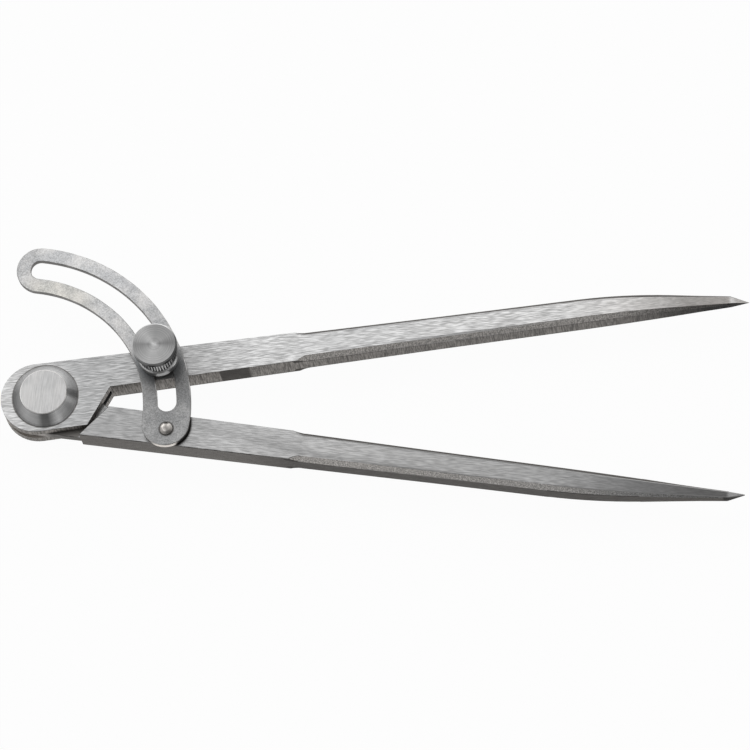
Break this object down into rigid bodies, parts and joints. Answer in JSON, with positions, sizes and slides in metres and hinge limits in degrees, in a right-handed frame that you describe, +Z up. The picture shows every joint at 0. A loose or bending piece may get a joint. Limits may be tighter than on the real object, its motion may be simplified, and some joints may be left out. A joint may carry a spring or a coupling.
{
  "type": "wing divider",
  "caption": "Steel wing divider: pointed legs in a riveted fork-and-tongue joint, held open by a slotted curved wing and a knurled clamp screw.",
  "frame": {"origin": "centre of the flat face under the head, on which the divider rests, on the pivot axis", "axes": "+X along the middle of the opening towards the points, +Z up along the pivot axis, towards the clamp screw"},
  "size_m": [0.1984, 0.0707, 0.0215],
  "materials": {
    "leg_steel": "ground, lengthwise grain",
    "rivet_steel": "turned",
    "wing_steel": "fine matt",
    "wing_rivet_steel": "bright",
    "screw_steel": "turned and knurled"
  },
  "bodies": {
    "fork_side": {"fork_leg": "leg_steel", "pivot_rivet": "rivet_steel", "rivet_washer": "rivet_steel"},
    "tongue_side": {"tongue_leg": "leg_steel", "wing_rivet": "wing_rivet_steel"},
    "wing": {"wing": "wing_steel"},
    "screw": {"clamp_screw": "screw_steel"}
  },
  "joints": [
    {"name": "leg_opening", "type": "hinge", "parent": "fork_side", "child": "tongue_side", "pos_m": [0, 0, 0.00695], "axis": [0, 0, -1], "range_deg": [-16.5, 83.4]},
    {"name": "wing_turn", "type": "hinge", "parent": "tongue_side", "child": "wing", "pos_m": [0.03321, -0.00997, 0.00695], "axis": [0, 0, 1], "range_deg": [-1.1, 5.51]},
    {"name": "screw_turn", "type": "hinge", "parent": "fork_side", "child": "screw", "pos_m": [0.03021, 0.01036, 0.00695], "axis": [0, 0, 1], "range_deg": [0, 360]}
  ],
  "couplings": [
    {"joint": "wing_turn", "follows": "leg_opening", "ratio": 0.066}
  ]
}
